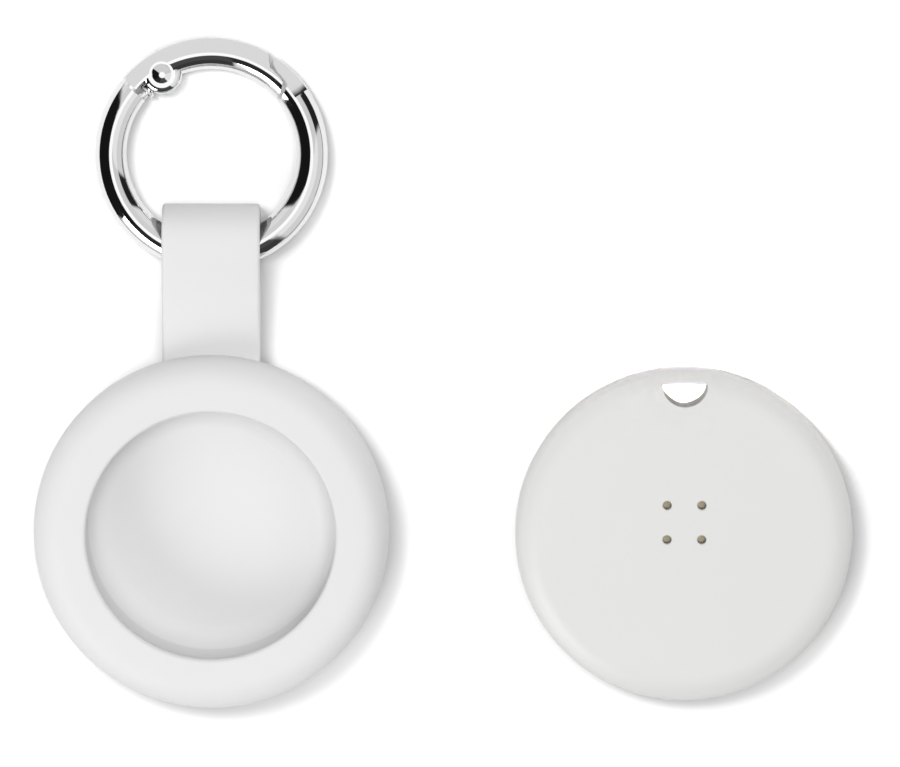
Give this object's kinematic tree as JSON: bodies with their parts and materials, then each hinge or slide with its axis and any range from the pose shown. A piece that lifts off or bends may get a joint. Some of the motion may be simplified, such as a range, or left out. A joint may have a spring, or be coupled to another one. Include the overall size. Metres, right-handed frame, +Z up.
{
  "type": "bluetooth tracker tag",
  "caption": "Round tracker tag with a sounder and replaceable cell, beside its silicone key-ring holder with a strap loop and a spring-gate ring",
  "frame": {"origin": "centre of the holder's flat base, on the table", "axes": "+Z up from the table, +Y along the strap towards the ring, +X towards the tag lying beside the holder"},
  "size_m": [0.0923, 0.0754, 0.01],
  "materials": {
    "tag_plastic": "fine satin moulded white ABS",
    "black_rubber": "smooth black nitrile",
    "cell_steel": "brushed stainless can",
    "contact_metal": "nickel-plated spring sheet",
    "board_green": "green solder mask",
    "chip_black": "black moulding compound",
    "antenna_ceramic": "pale sintered ceramic",
    "lamp_plastic": "clear-topped lamp",
    "crystal_can": "plated can",
    "passive_tan": "tan sintered ceramic",
    "foam": "closed-cell foam",
    "piezo_brass": "rolled brass",
    "piezo_ceramic_white": "silvered ceramic disc",
    "switch_plastic": "plain plunger",
    "silicone_white": "matte white silicone",
    "ring_chrome": "polished nickel-chrome plate",
    "spring_steel": "drawn spring wire"
  },
  "bodies": {
    "holder": {"holder_case": "silicone_white"},
    "strap": {"strap_loop": "silicone_white"},
    "ring": {"ring_body": "ring_chrome", "gate_rivet": "ring_chrome", "gate_spring": "spring_steel"},
    "gate": {"ring_gate": "ring_chrome"},
    "plunger": {"gate_plunger": "ring_chrome"},
    "tag": {"front_shell": "tag_plastic", "rear_shell": "tag_plastic", "coin_cell": "cell_steel", "battery_minus_spring": "contact_metal", "battery_plus_clips": "contact_metal", "circuit_board": "board_green", "radio_chip": "chip_black", "motion_sensor": "chip_black", "chip_antenna": "antenna_ceramic", "status_led": "lamp_plastic", "crystals": "crystal_can", "passives": "passive_tan", "piezo_foam_ring": "foam", "piezo_plate": "piezo_brass", "piezo_ceramic": "piezo_ceramic_white", "piezo_springs": "contact_metal", "switch_housing": "chip_black"},
    "door": {"battery_door": "tag_plastic", "door_o_ring": "black_rubber"},
    "switch": {"switch_plunger": "switch_plastic"}
  },
  "joints": [
    {"name": "strap_flex", "type": "hinge", "parent": "holder", "child": "strap", "pos_m": [0, 0.0224, 0.00385], "axis": [1, 0, 0], "range_deg": [-30, 30], "stiffness_Nm_per_rad": 0.02},
    {"name": "ring_flip", "type": "hinge", "parent": "strap", "child": "ring", "pos_m": [0, 0.03188, 0.00385], "axis": [1, 0, 0], "range_deg": [-90, 110]},
    {"name": "gate_open", "type": "hinge", "parent": "ring", "child": "gate", "pos_m": [-0.00558, 0.05137, 0.00204], "axis": [0, -0.0923, -0.9957], "range_deg": [0, 28], "stiffness_Nm_per_rad": 0.02, "springref_deg": -28.65},
    {"name": "plunger_slide", "type": "slide", "parent": "ring", "child": "plunger", "axis": [-0.7314, -0.6791, 0.0629], "range_m": [0, 0.0005]},
    {"name": "tag_lift", "type": "slide", "parent": "holder", "child": "tag", "axis": [0, 0, 1], "range_m": [0, 0.06]},
    {"name": "door_twist", "type": "hinge", "parent": "tag", "child": "door", "pos_m": [0.05325, -0.00029, 0.0005], "axis": [0, 0, 1], "range_deg": [0, 25]},
    {"name": "switch_press", "type": "slide", "parent": "tag", "child": "switch", "axis": [0, 0, -1], "range_m": [0, 0.00025], "stiffness_N_per_m": 400, "springref_m": -0.0002}
  ],
  "couplings": [
    {"joint": "plunger_slide", "follows": "gate_open", "m_per_rad": 0.00098}
  ]
}
